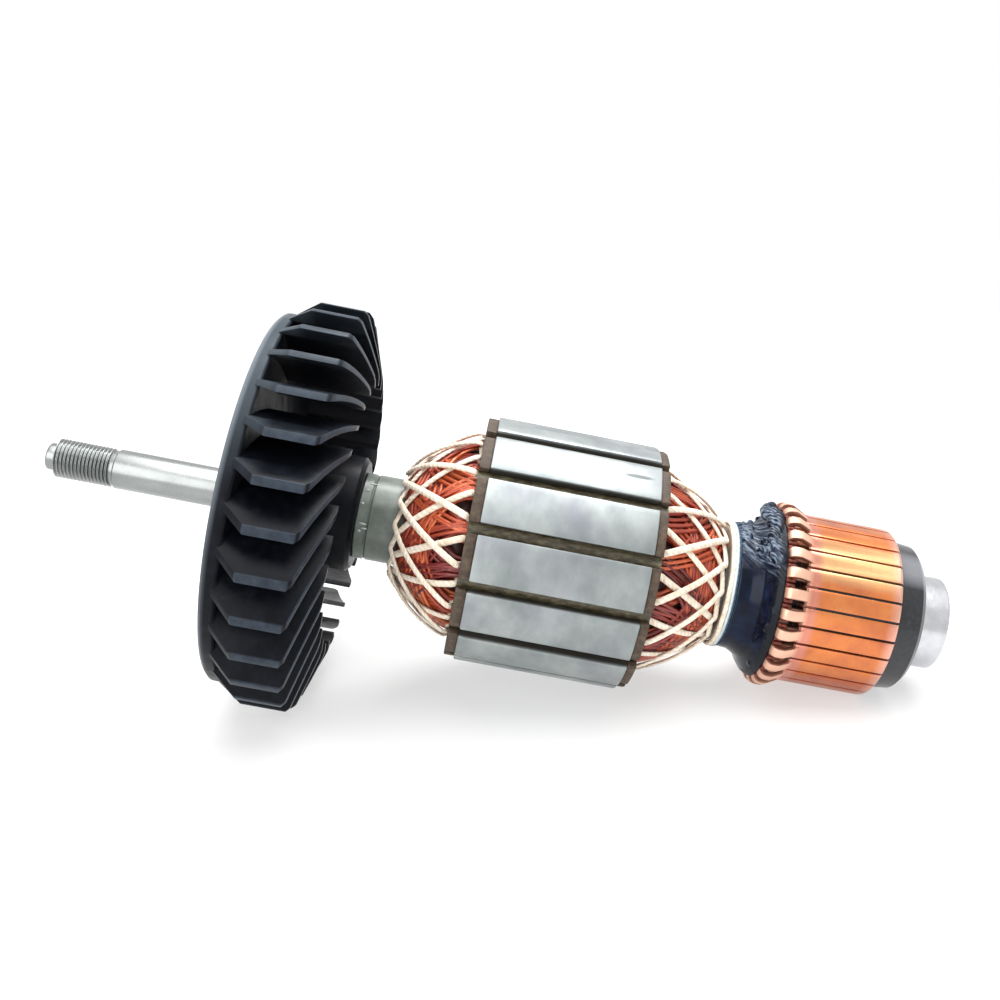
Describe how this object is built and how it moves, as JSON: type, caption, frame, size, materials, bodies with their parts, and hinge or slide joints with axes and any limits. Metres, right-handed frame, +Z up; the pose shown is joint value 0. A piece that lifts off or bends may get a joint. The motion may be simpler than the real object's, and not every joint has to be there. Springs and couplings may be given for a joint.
{
  "type": "motor armature",
  "caption": "Armature of a universal power-tool motor: threaded shaft, radial fan, slotted steel core, laced copper winding, commutator with hooks, and a ball bearing.",
  "frame": {"origin": "on the surface that it lies on, under the middle of its length", "axes": "+X along the length towards the commutator, +Z up; it lies on the fan and on the commutator's end, so the shaft dips 11.5 degrees towards +X"},
  "size_m": [0.1828, 0.0818, 0.0816],
  "materials": {
    "shaft_steel": "ground steel, threaded at its end",
    "fan_nylon": "black moulded nylon, satin",
    "sleeve": "grey-green moulded insulation",
    "end_plate": "brown insulating board",
    "core_steel": "stacked sheets, ground on the outside",
    "liner": "insulating paper",
    "wedge": "olive fibre strip",
    "winding": "enamelled copper wire",
    "lacing": "cream lacing cord, varnished",
    "resin": "dark blue casting resin",
    "moulding": "black phenolic moulding",
    "bush": "turned steel",
    "hook_wire": "wire ends with burnt enamel",
    "bearing_steel": "ground and polished steel",
    "ball": "polished steel",
    "cage": "pressed brass",
    "shield": "pressed sheet steel",
    "bar_copper": "turned copper, brushed bright"
  },
  "bodies": {
    "armature": {"shaft": "shaft_steel", "cooling_fan": "fan_nylon", "front_sleeve": "sleeve", "core_tube": "sleeve", "rear_sleeve": "sleeve", "front_end_plate": "end_plate", "lamination_stack": "core_steel", "rear_end_plate": "end_plate", "slot_liners": "liner", "slot_wedges": "wedge", "slot_conductors": "winding", "front_winding_head": "winding", "rear_winding_head": "winding", "front_lacing": "lacing", "rear_lacing": "lacing", "rear_binding": "lacing", "resin_neck": "resin", "commutator_moulding": "moulding", "commutator_bush": "bush", "hook_wires": "hook_wire", "bearing_inner_ring": "bearing_steel", "commutator_bar_01": "bar_copper", "commutator_bar_02": "bar_copper", "commutator_bar_03": "bar_copper", "commutator_bar_04": "bar_copper", "commutator_bar_05": "bar_copper", "commutator_bar_06": "bar_copper", "commutator_bar_07": "bar_copper", "commutator_bar_08": "bar_copper", "commutator_bar_09": "bar_copper", "commutator_bar_10": "bar_copper", "commutator_bar_11": "bar_copper", "commutator_bar_12": "bar_copper", "commutator_bar_13": "bar_copper", "commutator_bar_14": "bar_copper", "commutator_bar_15": "bar_copper", "commutator_bar_16": "bar_copper", "commutator_bar_17": "bar_copper", "commutator_bar_18": "bar_copper", "commutator_bar_19": "bar_copper", "commutator_bar_20": "bar_copper", "commutator_bar_21": "bar_copper", "commutator_bar_22": "bar_copper", "commutator_bar_23": "bar_copper", "commutator_bar_24": "bar_copper", "commutator_bar_25": "bar_copper", "commutator_bar_26": "bar_copper", "commutator_bar_27": "bar_copper", "commutator_bar_28": "bar_copper"},
    "outer_race": {"bearing_outer_ring": "bearing_steel", "bearing_front_shield": "shield", "bearing_rear_shield": "shield"},
    "ball_cage": {"bearing_cage": "cage", "bearing_balls": "ball"}
  },
  "joints": [
    {"name": "outer_race_spin", "type": "hinge", "parent": "armature", "child": "outer_race", "pos_m": [0.08656, 0, 0.01476], "axis": [0.9791, 0, -0.2035], "continuous": true},
    {"name": "ball_cage_spin", "type": "hinge", "parent": "armature", "child": "ball_cage", "pos_m": [0.08656, 0, 0.01476], "axis": [0.9791, 0, -0.2035], "continuous": true}
  ],
  "couplings": [
    {"joint": "ball_cage_spin", "follows": "outer_race_spin", "ratio": 0.63462}
  ]
}
